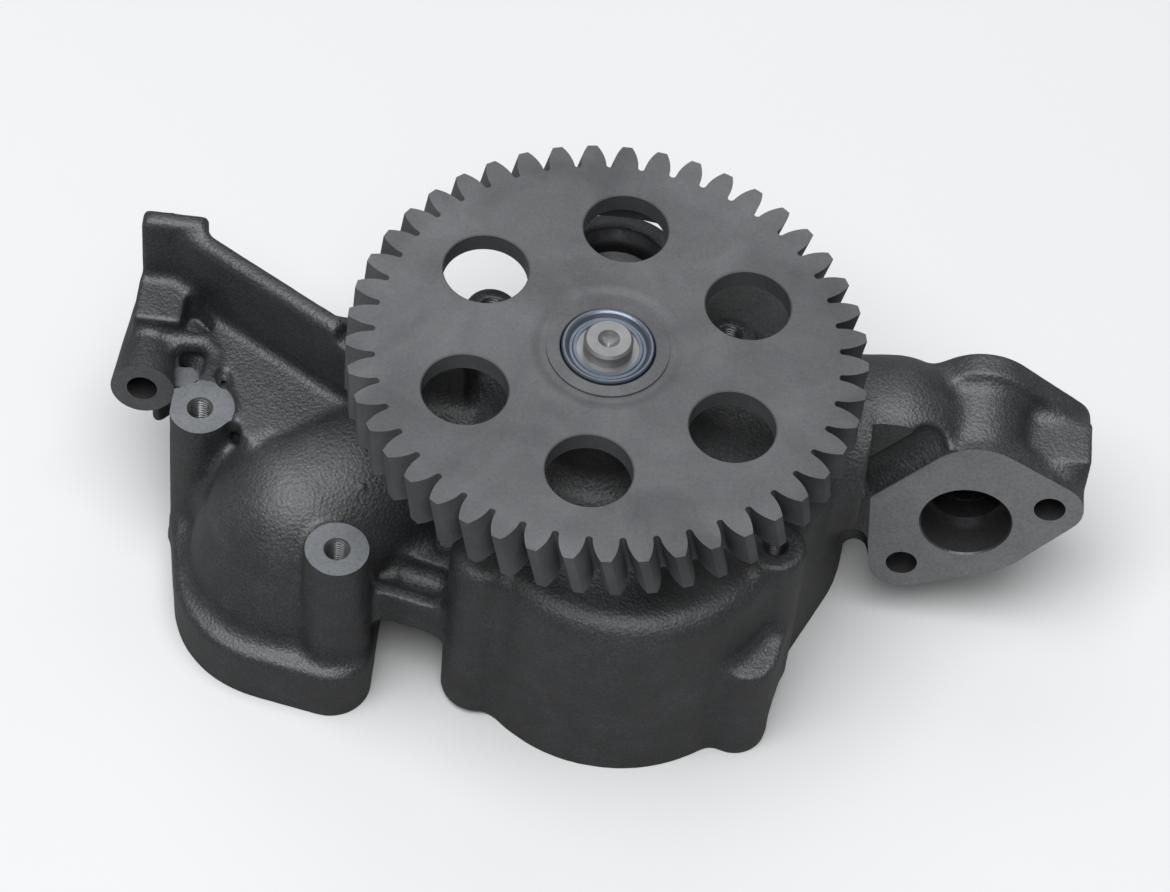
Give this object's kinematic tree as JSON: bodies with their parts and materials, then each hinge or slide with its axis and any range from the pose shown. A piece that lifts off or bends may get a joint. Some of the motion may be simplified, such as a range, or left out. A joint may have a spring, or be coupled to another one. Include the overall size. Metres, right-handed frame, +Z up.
{
  "type": "engine oil pump",
  "caption": "Gear-type engine oil pump: cast-iron body with suction elbow, delivery flange arm and mounting bracket, driven by a large helical gear with round holes.",
  "frame": {"origin": "on the drive shaft's axis in the plane of the flat base", "axes": "+Z up the drive shaft towards the helical gear, +X towards the delivery flange, -Y to the front of the round pump body, where both machined mounting faces look"},
  "size_m": [0.3223, 0.1663, 0.1251],
  "materials": {
    "cast_iron_housing": "rough, as cast and oiled",
    "machined_cast_iron": "fine milled",
    "gear_steel": "matt, phosphated",
    "ring_steel": "turned",
    "bright_steel": "ground",
    "black_steel": "blackened",
    "bronze": "turned bearing bronze",
    "copper": "annealed",
    "gasket_paper": "oiled fibre sheet",
    "seal_rubber": "smooth"
  },
  "bodies": {
    "housing": {"pump_housing": "cast_iron_housing", "bottom_cover": "machined_cast_iron", "cover_gasket": "gasket_paper", "cover_screws": "black_steel", "dowel_pins": "bright_steel", "idler_shaft": "bright_steel", "upper_drive_bush": "bronze", "lower_drive_bush": "bronze", "thrust_washer": "bronze", "relief_plug": "black_steel", "relief_plug_washer": "copper", "gallery_plug": "black_steel", "gallery_plug_washer": "copper", "suction_seal": "seal_rubber"},
    "drive_train": {"drive_shaft": "bright_steel", "drive_gear": "gear_steel", "gear_clamp_ring": "ring_steel", "shaft_key": "bright_steel", "pump_driving_gear": "bright_steel"},
    "idler": {"pump_driven_gear": "bright_steel", "idler_bush": "bronze"},
    "relief_valve": {"relief_piston": "bright_steel", "relief_spring": "black_steel"}
  },
  "joints": [
    {"name": "drive_spin", "type": "hinge", "parent": "housing", "child": "drive_train", "pos_m": [0, 0, 0], "axis": [0, 0, 1], "continuous": true},
    {"name": "idler_spin", "type": "hinge", "parent": "housing", "child": "idler", "pos_m": [0.02001, -0.04031, 0], "axis": [0, 0, 1], "continuous": true},
    {"name": "relief_slide", "type": "slide", "parent": "housing", "child": "relief_valve", "axis": [0, 0, 1], "range_m": [0, 0.014], "stiffness_N_per_m": 6000, "springref_m": -0.004, "deforming": ["relief_spring"]}
  ],
  "couplings": [
    {"joint": "idler_spin", "follows": "drive_spin", "ratio": -1}
  ]
}
